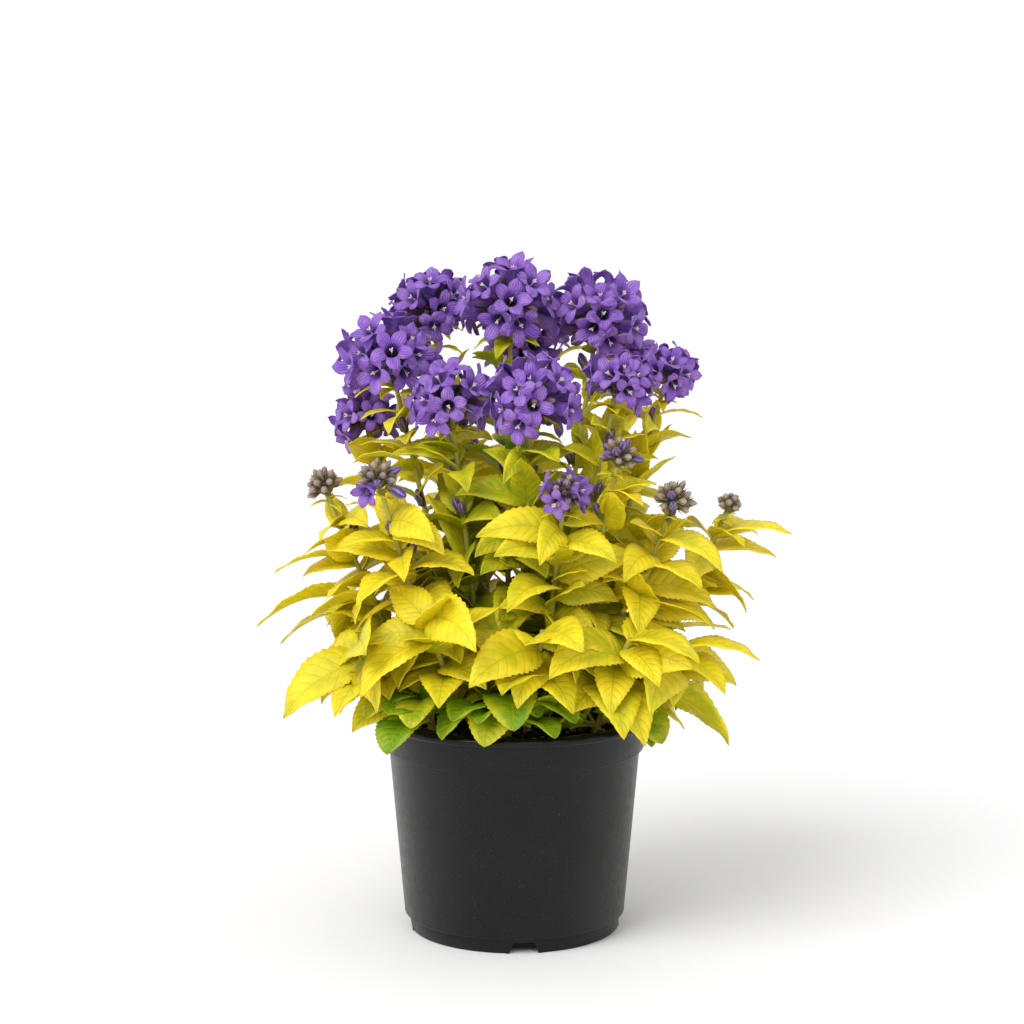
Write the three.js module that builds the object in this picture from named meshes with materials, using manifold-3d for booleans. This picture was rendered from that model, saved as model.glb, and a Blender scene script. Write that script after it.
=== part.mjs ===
// A clustered bellflower with golden foliage in a round black nursery pot.
// Millimetres, +Z up. The origin is the middle of the pot's foot, on the surface that it stands on.
import * as THREE from "three";
import { mergeVertices } from "three/addons/utils/BufferGeometryUtils.js";
import Module from "manifold-3d";

const wasm = await Module();
wasm.setup();

// Driving dimensions
const RIM_RADIUS = 75; // outside of the rolled lip
const POT_HEIGHT = 117;
const BASE_RADIUS = 55; // outside of the pot at the table
const WALL = 1.5;
const SOIL_LEVEL = 113;
const GAP = 0.35; // clearance between touching pieces
const STEM_RADIUS = 1.6; // at the soil
const STEM_TIP_RADIUS = 1.2;
const PETIOLE_RADIUS = 0.9;
const PEG_DEPTH = 12; // how far the stems reach into the soil
const CROWN_RADIUS = 3.2; // of a tuft of basal leaves
const RIB_THICKNESS = 1.2; // of a blade at its midrib, from where it thins to the edge
const BASE_THICKNESS = 0.8; // of a blade at its stem
const LEAF_LENGTH = 50; // longest stem leaf
const GOLDEN_ANGLE = 2.39996; // turn from one leaf or floret to the next, in radians
const LEAF_CLEARANCE = 4.4; // least distance between blades of two stems
const POT_SIDES = 28;

// Pot: heights and radii of its steps
const COLLAR_BOTTOM = 97; // underside of the collar below the lip
const LIP_BOTTOM = 112.3;
const BODY_TOP_RADIUS = RIM_RADIUS - 9.3;
const COLLAR_RADIUS = RIM_RADIUS - 5.5;
const FOOT_RING_HEIGHT = 7.6;
const FLOOR = 2;
const CHANNEL = { count: 4, turn: 5, bottomWidth: 16, topWidth: 10.5, height: 6, inner: 31 };
const DRAIN_RADIUS = 3.2;

const COLOURS = {
  pot: 0x2b2b2d,
  soil: 0x1e1812,
  goldLeaf: 0xe0cc2e,
  greenLeaf: 0x86ad1c,
  flower: 0x6b46c4,
  bud: 0x5a4668,
};

// Stems. foot is the place on the soil, top the place of the head, bow how far out the middle leans,
// from 0, straight up first, to 1, straight out first. leaves counts the leaves along the stem.
// head: [radius, florets] of an open cluster. buds: [radius, buds] of a closed one.
const STEMS = [
  { foot: [-4, 14], top: [-2, 32, 325], bow: 0.5, leaves: 4, from: 0.34, head: [24.5, 10] },
  { foot: [14, 18], top: [44, 41, 317], bow: 0.5, leaves: 4, from: 0.32, head: [23.5, 9] },
  { foot: [-22, 2], top: [-65, 14, 299], bow: 0.5, leaves: 5, from: 0.25, head: [23.5, 10] },
  { foot: [-14, -10], top: [-33, -9, 279], bow: 0.5, leaves: 4, from: 0.25, head: [20.5, 8] },
  { foot: [2, -14], top: [9, -23, 281], bow: 0.5, leaves: 5, from: 0.25, head: [22.5, 9] },
  { foot: [17, -8], top: [53, -16, 290], bow: 0.45, leaves: 4, from: 0.25, head: [17, 7] },
  { foot: [28, 4], top: [80, 16, 291], bow: 0.5, leaves: 4, from: 0.22, head: [15.5, 7] },
  { foot: [-16, 22], top: [-44, 53, 320], bow: 0.5, leaves: 4, from: 0.32, head: [20, 9] },
  { foot: [12, -24], top: [25, -53, 239], bow: 0.55, leaves: 4, from: 0.25, head: [12.5, 6] },
  { foot: [4, 34], top: [6, 86, 297], bow: 0.5, leaves: 3, from: 0.3, head: [20, 8] },
  { foot: [24, 30], top: [62, 78, 286], bow: 0.5, leaves: 3, from: 0.3, head: [18.5, 7] },
  { foot: [-32, 20], top: [-80, 58, 262], bow: 0.5, leaves: 3, from: 0.25, head: [17, 7] },
  { foot: [-12, 42], top: [-30, 104, 258], bow: 0.5, leaves: 3, from: 0.25, head: [15.5, 6] },
  { foot: [-30, -14], top: [-69, -42, 244], bow: 0.55, leaves: 5, from: 0.2, buds: [13, 8] },
  { foot: [26, -18], top: [53, -37, 255], bow: 0.45, leaves: 5, from: 0.25, buds: [12, 7] },
  { foot: [36, -10], top: [80, -40, 233], bow: 0.6, leaves: 5, from: 0.2, buds: [13, 7] },
  { foot: [-42, -2], top: [-98, -10, 236], bow: 0.6, leaves: 5, from: 0.2, buds: [11.5, 6] },
  { foot: [44, 8], top: [112, 4, 224], bow: 0.65, leaves: 5, from: 0.2, buds: [8, 6] },
  { foot: [6, -38], top: [14, -70, 172], bow: 0.6, leaves: 5, from: 0.3 },
  { foot: [-22, -32], top: [-44, -66, 178], bow: 0.65, leaves: 5, from: 0.3 },
  { foot: [30, -34], top: [58, -70, 168], bow: 0.65, leaves: 5, from: 0.3 },
  { foot: [-44, -20], top: [-80, -45, 158], bow: 0.75, leaves: 5, from: 0.3 },
  { foot: [48, -18], top: [84, -42, 158], bow: 0.75, leaves: 5, from: 0.3 },
  { foot: [-46, 16], top: [-88, 34, 172], bow: 0.7, leaves: 4, from: 0.3 },
  { foot: [22, 48], top: [44, 104, 180], bow: 0.65, leaves: 4, from: 0.3 },
];

// Tufts of stalked leaves round the crown. turn is where the tuft faces, in degrees.
const TUFTS = [
  { foot: [-4, -48], turn: -92, leaves: 6 },
  { foot: [42, -34], turn: -38, leaves: 5 },
  { foot: [-42, -36], turn: -142, leaves: 5 },
  { foot: [50, 22], turn: 30, leaves: 3 },
  { foot: [-34, 46], turn: 124, leaves: 3 },
];

// The same sequence of numbers from 0 to 1 for the same seed
function seeded(seed) {
  let state = seed;
  return () => {
    state = (Math.imul(state, 1664525) + 1013904223) >>> 0;
    return state / 4294967296;
  };
}

const radians = (degrees) => (degrees * Math.PI) / 180;
const vec = (x, y, z) => new THREE.Vector3(x, y, z);

// Meshes to solids and back
function solidOf(geometry) {
  const bare = geometry.clone();
  bare.deleteAttribute("normal");
  bare.deleteAttribute("uv");
  const merged = mergeVertices(bare, 1e-4);
  const mesh = new wasm.Mesh({
    numProp: 3,
    vertProperties: new Float32Array(merged.attributes.position.array),
    triVerts: new Uint32Array(merged.index.array),
  });
  return new wasm.Manifold(mesh);
}

function geometryOf(solid) {
  const mesh = solid.getMesh();
  const geometry = new THREE.BufferGeometry();
  geometry.setAttribute("position", new THREE.BufferAttribute(mesh.vertProperties, 3));
  geometry.setIndex(new THREE.BufferAttribute(mesh.triVerts, 1));
  geometry.computeVertexNormals();
  return geometry;
}

const fuse = (solids) => solids.reduce((all, next) => all.add(next));

// The largest closed surface of a solid, which fills any pocket that joining has sealed
const filled = (solid) => solid.decompose().reduce((all, next) => (next.volume() > all.volume() ? next : all));

function node(name, solid, colour, roughness) {
  const material = new THREE.MeshStandardMaterial({ color: colour, roughness, metalness: 0 });
  const mesh = new THREE.Mesh(geometryOf(filled(solid)), material);
  mesh.name = name;
  return mesh;
}

function revolve(profile, sides) {
  const points = profile.map(([r, z]) => new THREE.Vector2(r, z));
  return new THREE.LatheGeometry(points, sides).rotateX(Math.PI / 2);
}

function post(radius, bottom, top, sides, x, y) {
  return new THREE.CylinderGeometry(radius, radius, top - bottom, sides)
    .rotateX(Math.PI / 2)
    .translate(x, y, (bottom + top) / 2);
}

// A raised channel in the pot's floor, from inner radius to beyond the wall, wider by grow all round
function channel(index, grow) {
  const half = CHANNEL.bottomWidth / 2 + grow;
  const halfTop = CHANNEL.topWidth / 2 + grow;
  const top = CHANNEL.height + grow;
  const section = new THREE.Shape([
    new THREE.Vector2(-half, -1),
    new THREE.Vector2(half, -1),
    new THREE.Vector2(halfTop, top),
    new THREE.Vector2(-halfTop, top),
  ]);
  const length = BASE_RADIUS + 5 - CHANNEL.inner + grow;
  const turn = -Math.PI / 2 + radians(CHANNEL.turn) + (index * 2 * Math.PI) / CHANNEL.count;
  return new THREE.ExtrudeGeometry(section, { depth: length, bevelEnabled: false })
    .rotateX(Math.PI / 2)
    .rotateZ(Math.PI / 2)
    .translate(CHANNEL.inner - grow, 0, 0)
    .rotateZ(turn);
}

const channelSolids = (grow) =>
  fuse([...Array(CHANNEL.count).keys()].map((index) => solidOf(channel(index, grow))));

// Inside radius of the pot at height z
function insideRadius(z) {
  if (z > COLLAR_BOTTOM + 1) {
    return COLLAR_RADIUS - 2 * WALL + ((z - COLLAR_BOTTOM) / (LIP_BOTTOM - COLLAR_BOTTOM)) * 1.2;
  }
  const share = (z - FOOT_RING_HEIGHT) / (COLLAR_BOTTOM - FOOT_RING_HEIGHT);
  return BASE_RADIUS + 3 - WALL + share * (BODY_TOP_RADIUS - BASE_RADIUS - 3);
}

function potSolid() {
  const shell = solidOf(
    revolve(
      [
        [0, 0],
        [BASE_RADIUS, 0],
        [BASE_RADIUS + 0.8, FOOT_RING_HEIGHT - 0.6],
        [BASE_RADIUS + 3, FOOT_RING_HEIGHT + 0.9],
        [BODY_TOP_RADIUS, COLLAR_BOTTOM - 0.6],
        [COLLAR_RADIUS - 1.6, COLLAR_BOTTOM + 0.3],
        [COLLAR_RADIUS, LIP_BOTTOM],
        [RIM_RADIUS - 0.6, LIP_BOTTOM + 0.4],
        [RIM_RADIUS, LIP_BOTTOM + 2.2],
        [RIM_RADIUS - 1.2, POT_HEIGHT],
        [RIM_RADIUS - 4.4, POT_HEIGHT],
        [COLLAR_RADIUS - 1.6, LIP_BOTTOM],
        [insideRadius(COLLAR_BOTTOM + 3), COLLAR_BOTTOM + 3],
        [insideRadius(COLLAR_BOTTOM), COLLAR_BOTTOM],
        [insideRadius(FOOT_RING_HEIGHT + 1), FOOT_RING_HEIGHT + 1],
        [BASE_RADIUS - WALL, FLOOR],
        [0, FLOOR],
      ],
      POT_SIDES,
    ),
  );
  const hollow = channelSolids(0);
  const inside = solidOf(post(BASE_RADIUS - 0.4, 0, CHANNEL.height + WALL, POT_SIDES, 0, 0));
  const drains = [...Array(CHANNEL.count).keys()].map((index) => {
    const turn = -Math.PI / 2 + radians(CHANNEL.turn) + (index * 2 * Math.PI) / CHANNEL.count;
    const out = CHANNEL.inner + 9;
    return solidOf(post(DRAIN_RADIUS, 1, 12, 8, out * Math.cos(turn), out * Math.sin(turn)));
  });
  return shell.add(channelSolids(WALL).intersect(inside)).subtract(hollow).subtract(fuse(drains));
}

// Feet of the stems and tufts, which stand in plain holes in the soil
const pegs = [
  ...STEMS.map(({ foot }) => ({ foot, radius: STEM_RADIUS })),
  ...TUFTS.map(({ foot }) => ({ foot, radius: CROWN_RADIUS })),
];
function soilSolid() {
  const bottom = FLOOR + GAP;
  const upper = insideRadius(COLLAR_BOTTOM) - GAP - 0.2;
  const body = revolve(
    [
      [0, bottom],
      [BASE_RADIUS - WALL - GAP - 0.3, bottom],
      [insideRadius(FOOT_RING_HEIGHT + 1) - GAP - 0.2, FOOT_RING_HEIGHT + 1],
      [upper, COLLAR_BOTTOM],
      [upper + 1, SOIL_LEVEL - 1.6],
      [58, SOIL_LEVEL],
      [30, SOIL_LEVEL],
      [0, SOIL_LEVEL],
    ],
    22,
  );
  const place = body.attributes.position;
  for (let i = 0; i < place.count; i++) {
    const [x, y, z] = [place.getX(i), place.getY(i), place.getZ(i)];
    if (z > SOIL_LEVEL - 0.5) place.setZ(i, z + 0.8 * Math.sin(x * 0.31 + 1) * Math.cos(y * 0.27) - 0.4);
  }
  const holes = pegs.map(({ foot, radius }) => {
    const hole = (radius + GAP) / Math.cos(Math.PI / 5);
    return solidOf(post(hole, SOIL_LEVEL - PEG_DEPTH - GAP, 120, 5, ...foot));
  });
  return solidOf(body).subtract(channelSolids(WALL + GAP)).subtract(fuse(holes));
}

// Stem lines
function stemCurve({ foot, top, bow, head, buds }) {
  const start = vec(...foot, SOIL_LEVEL + 1.5);
  const core = head ? coreRadius(head[0]) : buds ? coreRadius(buds[0]) : 0;
  const end = vec(...top);
  const middle = vec(
    start.x + (end.x - start.x) * bow,
    start.y + (end.y - start.y) * bow,
    start.z + (end.z - start.z) * 0.5,
  );
  const lean = end.clone().sub(middle).normalize();
  if (core) end.addScaledVector(lean, -(core + GAP));
  return { curve: new THREE.QuadraticBezierCurve3(start, middle, end), lean };
}

const coreRadius = (headRadius) => 2.2 + 0.22 * headRadius;

// A closed tube round points that lie in one upright plane, thinning from the first to the last
function tube(points, firstRadius, lastRadius, sides) {
  const last = points.length - 1;
  const reach = points[last].clone().sub(points[0]);
  const across = Math.hypot(reach.x, reach.y) > 0.1 ? vec(-reach.y, reach.x, 0).normalize() : vec(0, 1, 0);
  const rings = points.flatMap((point, i) => {
    const along = points[Math.min(i + 1, last)].clone().sub(points[Math.max(i - 1, 0)]).normalize();
    const up = i ? along.clone().cross(across).normalize() : vec(0, 0, 1).cross(across);
    const radius = firstRadius + ((lastRadius - firstRadius) * i) / last;
    return [...Array(sides).keys()].map((k) => {
      const turn = (k * 2 * Math.PI) / sides;
      return point
        .clone()
        .addScaledVector(across, radius * Math.cos(turn))
        .addScaledVector(up, radius * Math.sin(turn));
    });
  });
  const faces = [];
  for (let i = 0; i < last; i++) {
    for (let k = 0; k < sides; k++) {
      const [a, b] = [i * sides + k, i * sides + ((k + 1) % sides)];
      faces.push(a, b, a + sides, b, b + sides, a + sides);
    }
  }
  for (let k = 1; k + 1 < sides; k++) {
    faces.push(0, k + 1, k, last * sides, last * sides + k, last * sides + k + 1);
  }
  return new THREE.BufferGeometry().setFromPoints(rings).setIndex(faces);
}

// Leaf blades. An outline is how early a blade is widest and how sharply it narrows to its ends.
const POINTED = [0.64, 0.92];
const BLUNT = [0.74, 0.66];
const leafOutline = ([early, sharp], s) => Math.pow(Math.max(0, Math.sin(Math.PI * Math.pow(s, early))), sharp);

// A point on a leaf: s runs from its base to its tip, side from -1 to 1 across it
function leafPoint(leaf, s, side, half, lift) {
  const { base, azimuth, pitch, bend, roll, fold, length, cordate } = leaf;
  const spread = half / (leaf.width / 2);
  const along = s - cordate * spread * spread * Math.pow(1 - s, 3) * Math.abs(side);
  const angle = pitch - bend * along;
  const out = (length * (Math.sin(pitch) - Math.sin(angle))) / bend;
  const rise = (length * (Math.cos(angle) - Math.cos(pitch))) / bend;
  const forward = vec(Math.cos(azimuth), Math.sin(azimuth), 0);
  const across = vec(-Math.sin(azimuth), Math.cos(azimuth), 0);
  const normal = forward.clone().multiplyScalar(-Math.sin(angle)).setZ(Math.cos(angle));
  const rolledAcross = across.clone().multiplyScalar(Math.cos(roll)).addScaledVector(normal, Math.sin(roll));
  const rolledNormal = normal.clone().multiplyScalar(Math.cos(roll)).addScaledVector(across, -Math.sin(roll));
  return base
    .clone()
    .addScaledVector(forward, out)
    .add(vec(0, 0, rise))
    .addScaledVector(rolledAcross, side * half * Math.cos(fold))
    .addScaledVector(rolledNormal, Math.abs(side) * half * Math.sin(fold) + lift);
}

// Half of the blade's edge from base to tip: teeth and the notches after them, each as its place
// along the leaf and its share of the outline's half width
const EDGE = [
  [0.15, 0.96],
  [0.22, 0.82],
  [0.42, 1.03],
  [0.49, 0.8],
  [0.73, 1.12],
];
const RIB = [0.3, 0.62];

// A closed blade, split alike on both faces: its base is sunk in the stem, its edge is sharp
function bladeGeometry(leaf) {
  const half = leaf.width / 2;
  const edgePoints = (side) =>
    EDGE.map(([s, share]) => leafPoint(leaf, s, side, share * leafOutline(leaf.outline, s) * half, 0));
  const spine = (lift, baseLift) => [
    leafPoint(leaf, 0, 0, 0, baseLift),
    ...RIB.map((s) => leafPoint(leaf, s, 0, 0, lift)),
  ];
  const points = [
    ...spine(RIB_THICKNESS / 2, BASE_THICKNESS / 2),
    ...spine(-RIB_THICKNESS / 2, -BASE_THICKNESS / 2),
    leafPoint(leaf, 1, 0, 0, 0),
    ...edgePoints(1),
    ...edgePoints(-1),
  ];
  const tip = 6;
  const faces = [];
  for (const [first, left] of [[7, true], [12, false]]) {
    const [e1, e2, e3, e4, e5] = [0, 1, 2, 3, 4].map((i) => first + i);
    const add = (a, b, c, keep) => faces.push(...(keep === left ? [a, b, c] : [a, c, b]));
    for (const upper of [true, false]) {
      const [base, rib1, rib2] = upper ? [0, 1, 2] : [3, 4, 5];
      add(base, rib1, e1, upper);
      add(rib1, e2, e1, upper);
      add(rib1, e3, e2, upper);
      add(rib1, rib2, e3, upper);
      add(rib2, e4, e3, upper);
      add(rib2, e5, e4, upper);
      add(rib2, tip, e5, upper);
    }
    add(0, e1, 3, true);
  }
  return new THREE.BufferGeometry().setFromPoints(points).setIndex(faces);
}

// Points spread over a blade, to keep it clear of other blades
function leafSamples(leaf) {
  const samples = [];
  for (let i = 1; i <= 9; i++) {
    const s = i / 9;
    const half = (leaf.width / 2) * leafOutline(leaf.outline, s);
    for (let k = -3; k <= 3; k++) samples.push(leafPoint(leaf, s, k / 3, half, 0));
  }
  return samples;
}

// What stands in a leaf's way: points of other stems and their leaves, heads, the pot and the soil
const taken = [];
const balls = [];

const isFree = (place, owner) =>
  taken.every((other) => other.owner === owner || place.distanceToSquared(other.place) > LEAF_CLEARANCE ** 2);

// Whether a point of a blade keeps off the soil, the lip and the heads
function isOpen(p) {
  const out = Math.hypot(p.x, p.y);
  if (out < 66 && p.z < SOIL_LEVEL + 3) return false;
  if (out >= 66 && out < RIM_RADIUS + 4 && p.z < POT_HEIGHT + 2.5) return false;
  if (out >= RIM_RADIUS + 4 && p.z < 70) return false;
  return balls.every((ball) => p.distanceTo(ball.centre) > ball.radius + 1.5);
}

// Turns, lifts and at last shortens a leaf until it is clear, and gives null where it never is
function settle(leaf, owner) {
  for (const size of [1, 0.8, 0.62]) {
    for (const turn of [0, 16, -16, 32, -32, 48, -48]) {
      for (const raise of [0, 18, -18]) {
        const tried = placed({
          ...leaf,
          length: leaf.length * size,
          width: leaf.width * size,
          azimuth: leaf.azimuth + radians(turn),
          pitch: leaf.pitch + radians(raise),
        });
        const samples = leafSamples(tried);
        if (!samples.every(isOpen)) continue;
        samples.push(...stalkPoints(tried, 6));
        if (samples.every((place) => isFree(place, owner))) {
          samples.forEach((place) => taken.push({ place, owner }));
          return tried;
        }
      }
    }
  }
  return null;
}

// A leaf with a stalk starts at the stalk's end, which turns with the leaf
function placed(leaf) {
  if (!leaf.foot) return leaf;
  const { foot, azimuth, reach, rise } = leaf;
  return { ...leaf, base: foot.clone().add(vec(reach * Math.cos(azimuth), reach * Math.sin(azimuth), rise)) };
}

function stalkPoints({ foot, base }, steps) {
  if (!foot) return [];
  const middle = vec((foot.x + base.x) / 2, (foot.y + base.y) / 2, base.z + 1);
  const inBlade = base.clone().add(base.clone().sub(middle).normalize());
  return new THREE.QuadraticBezierCurve3(foot, middle, inBlade).getPoints(steps);
}

// Leaves turn towards the light, away from the middle of the plant, and tilt their faces outwards
function facing({ top }, azimuth) {
  const outward = Math.atan2(top[1], top[0]);
  const off = azimuth - outward;
  return outward + 0.78 * Math.atan2(Math.sin(off), Math.cos(off));
}

function stemLeaves(stem, index, curve) {
  const random = seeded(101 + 17 * index);
  const phase = 2 * Math.PI * random();
  const found = [];
  const to = stem.head || stem.buds ? 0.86 : 0.98;
  for (let k = 0; k < stem.leaves; k++) {
    const share = stem.leaves > 1 ? k / (stem.leaves - 1) : 0;
    const t = stem.from + (to - stem.from) * share;
    const base = curve.getPoint(t);
    const size = 1 - 0.34 * THREE.MathUtils.clamp((base.z - 170) / 110, 0, 1);
    const low = 1 - THREE.MathUtils.clamp((base.z - 150) / 90, 0, 1);
    const length = LEAF_LENGTH * size * (0.85 + 0.25 * random());
    const azimuth = facing(stem, phase + k * GOLDEN_ANGLE + 0.5 * (random() - 0.5));
    const aside = Math.sin(azimuth - Math.atan2(base.y, base.x));
    const leaf = {
      base,
      azimuth,
      pitch: radians(22 - 36 * low + 32 * random()),
      bend: radians(42 + 4 * low + 30 * random()),
      roll: radians(44 * aside + 40 * (random() - 0.5)),
      fold: radians(5 + 9 * random()),
      length,
      width: length * (0.42 + 0.16 * low),
      cordate: 0,
      outline: POINTED,
    };
    const settled = settle(leaf, index);
    if (settled) found.push(settled);
  }
  return found;
}

// Petioled leaves: each stands off the tuft's crown on its own stalk
function tuftLeaves(tuft, index) {
  const random = seeded(901 + 29 * index);
  const found = [];
  for (let k = 0; k < tuft.leaves; k++) {
    const spread = (k - (tuft.leaves - 1) / 2) * 38;
    const azimuth = radians(tuft.turn + spread + 14 * (random() - 0.5));
    const reach = 10 + 12 * random();
    const rise = 7 + 16 * random();
    const foot = vec(tuft.foot[0], tuft.foot[1], SOIL_LEVEL + 1.5);
    const length = 24 + 11 * random();
    const leaf = {
      foot,
      reach,
      rise,
      azimuth,
      pitch: radians(8 + 22 * random()),
      bend: radians(58 + 30 * random()),
      roll: radians(30 * (random() - 0.5)),
      fold: radians(8 + 8 * random()),
      length,
      width: length * 0.86,
      cordate: 0.3,
      outline: BLUNT,
    };
    const settled = settle(leaf, STEMS.length + index);
    if (settled) found.push(settled);
  }
  return found;
}

// A bell: a tube that opens into five pointed lobes round a hollow throat
function bellGeometry(centre, axis, radius, turn) {
  const side = Math.abs(axis.z) < 0.9 ? vec(0, 0, 1) : vec(1, 0, 0);
  const u = side.clone().cross(axis).normalize();
  const v = axis.clone().cross(u);
  const at = (height, out, angle) =>
    centre
      .clone()
      .addScaledVector(axis, height * radius)
      .addScaledVector(u, out * radius * Math.cos(angle))
      .addScaledVector(v, out * radius * Math.sin(angle));
  const points = [at(0.1, 0, 0), at(0.5, 0, 0)];
  for (let i = 0; i < 5; i++) {
    const angle = turn + (i * 2 * Math.PI) / 5;
    points.push(at(0.74, 0.23, angle), at(0.88, 0.43, angle + Math.PI / 5));
  }
  const faces = [];
  for (let i = 0; i < 10; i++) {
    const [a, b] = [2 + i, 2 + ((i + 1) % 10)];
    faces.push(0, b, a, 1, a, b);
  }
  return new THREE.BufferGeometry().setFromPoints(points).setIndex(faces);
}

// A bud: a four-sided spindle
function budGeometry(centre, axis, length, radius) {
  const profile = [
    [0, length * 0.1],
    [radius, length * 0.66],
    [0, length],
  ];
  const turn = new THREE.Quaternion().setFromUnitVectors(vec(0, 0, 1), axis);
  return revolve(profile, 4).applyQuaternion(turn).translate(centre.x, centre.y, centre.z);
}

// The receptacle that the bells or buds grow from, flat below where the stem meets it
function coreGeometry(centre, axis, radius) {
  const profile = [
    [0, -radius],
    [radius * 0.55, -radius],
    [radius, 0],
    [0, radius],
  ];
  const turn = new THREE.Quaternion().setFromUnitVectors(vec(0, 0, 1), axis);
  return revolve(profile, 6).applyQuaternion(turn).translate(centre.x, centre.y, centre.z);
}

// Directions spread evenly over a ball from its pole down to the given angle
function spreadOver(count, lowest, axis, phase) {
  const turn = new THREE.Quaternion().setFromUnitVectors(vec(0, 0, 1), axis);
  return [...Array(count).keys()].map((k) => {
    const up = 1 - ((k + 0.5) / count) * (1 - Math.cos(lowest));
    const out = Math.sqrt(1 - up * up);
    const angle = phase + k * GOLDEN_ANGLE;
    return vec(out * Math.cos(angle), out * Math.sin(angle), up).applyQuaternion(turn);
  });
}

function headSolid(stem, lean, index) {
  const [radius, count] = stem.head;
  const centre = vec(...stem.top);
  const random = seeded(501 + 13 * index);
  const bells = spreadOver(count, radians(122), lean, 2 * Math.PI * random()).map((axis) =>
    solidOf(bellGeometry(centre, axis, radius, 2 * Math.PI * random())),
  );
  return fuse([solidOf(coreGeometry(centre, lean, coreRadius(radius))), ...bells]);
}

function budsSolid(stem, lean, index) {
  const [radius, count] = stem.buds;
  const centre = vec(...stem.top);
  const random = seeded(701 + 13 * index);
  const buds = spreadOver(count, radians(100), lean, 2 * Math.PI * random()).map((axis) =>
    solidOf(budGeometry(centre, axis, radius * (0.95 + 0.25 * random()), 2.3)),
  );
  return fuse([solidOf(coreGeometry(centre, lean, coreRadius(radius))), ...buds]);
}

// Assembly
const part = new THREE.Group();
part.add(node("pot", potSolid(), COLOURS.pot, 0.45));
part.add(node("soil", soilSolid(), COLOURS.soil, 1));

const lines = STEMS.map(stemCurve);
STEMS.forEach((stem, index) => {
  const { curve } = lines[index];
  curve.getPoints(60).forEach((place) => taken.push({ place, owner: index }));
  if (stem.head) balls.push({ centre: vec(...stem.top), radius: stem.head[0] * 0.95 });
  if (stem.buds) balls.push({ centre: vec(...stem.top), radius: stem.buds[0] * 1.2 });
});

const pieceOf = (leaf) => solidOf(bladeGeometry(leaf));

TUFTS.forEach((tuft, index) => {
  const crown = solidOf(post(CROWN_RADIUS, SOIL_LEVEL - PEG_DEPTH, SOIL_LEVEL + 3, 5, ...tuft.foot));
  const leaves = tuftLeaves(tuft, index);
  const stalks = leaves.map((leaf) => solidOf(tube(stalkPoints(leaf, 2), PETIOLE_RADIUS, PETIOLE_RADIUS, 4)));
  const solid = fuse([crown, ...stalks, ...leaves.map(pieceOf)]);
  part.add(node("basal_leaves_" + (index + 1), solid, COLOURS.greenLeaf, 0.6));
});

STEMS.forEach((stem, index) => {
  const { curve, lean } = lines[index];
  const number = String(index + 1).padStart(2, "0");
  const foot = vec(...stem.foot, SOIL_LEVEL - PEG_DEPTH);
  const line = solidOf(tube([foot, ...curve.getPoints(4)], STEM_RADIUS, STEM_TIP_RADIUS, 5));
  const solid = fuse([line, ...stemLeaves(stem, index, curve).map(pieceOf)]);
  part.add(node("leafy_stem_" + number, solid, COLOURS.goldLeaf, 0.6));
  if (stem.head) part.add(node("flower_head_" + number, headSolid(stem, lean, index), COLOURS.flower, 0.7));
  if (stem.buds) part.add(node("bud_cluster_" + number, budsSolid(stem, lean, index), COLOURS.bud, 0.7));
});

export default part;
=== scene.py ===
# Clustered bellflower with golden leaves in a round black nursery pot
# The plant is laid out in millimetres, by the same rule as the solids, and turned to metres in each mesh
import itertools
import math
from math import atan2, cos, hypot, pi, radians, sin, sqrt
import bpy
import bmesh
from mathutils import Matrix, Vector, noise


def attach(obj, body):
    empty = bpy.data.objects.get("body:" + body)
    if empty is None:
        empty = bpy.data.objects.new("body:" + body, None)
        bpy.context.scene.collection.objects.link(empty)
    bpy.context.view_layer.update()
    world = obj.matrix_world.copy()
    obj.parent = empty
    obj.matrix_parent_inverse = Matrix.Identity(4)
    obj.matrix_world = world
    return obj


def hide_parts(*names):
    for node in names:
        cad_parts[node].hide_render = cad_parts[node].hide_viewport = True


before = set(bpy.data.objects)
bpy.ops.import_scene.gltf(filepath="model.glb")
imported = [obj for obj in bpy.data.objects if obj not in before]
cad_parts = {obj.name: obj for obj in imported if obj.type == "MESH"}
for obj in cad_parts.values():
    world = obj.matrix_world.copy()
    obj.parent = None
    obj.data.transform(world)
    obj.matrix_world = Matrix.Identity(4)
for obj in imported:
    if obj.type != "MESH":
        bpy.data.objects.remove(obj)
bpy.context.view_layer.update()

# The pot's and the plant's sizes, which the solids share
pot = {
    "rimRadius": 75, "height": 117, "baseRadius": 55, "wall": 1.5, "collarBottom": 97, "lipBottom": 112.3,
    "footRing": 7.6, "floor": 2, "channels": 4, "channelTurn": 5, "channelBottom": 16, "channelTop": 10.5,
    "channelHeight": 6, "channelInner": 31, "collarInset": 5.5, "bodyInset": 9.3, "lipBead": 2.2,
    "lipInner": 1.2,
}
soilLevel = 113
footLevel = soilLevel + 1.5  # where stems and leaf stalks come out of the soil
plant = {
    "gap": 0.35, "stemRadius": 1.6, "stemTipRadius": 1.2, "petioleRadius": 0.9, "crownRadius": 3.1,
    "pegDepth": 12, "leafLength": 50, "goldenAngle": 2.39996, "clearance": 4.4, "headClearance": 1.5,
}

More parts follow.
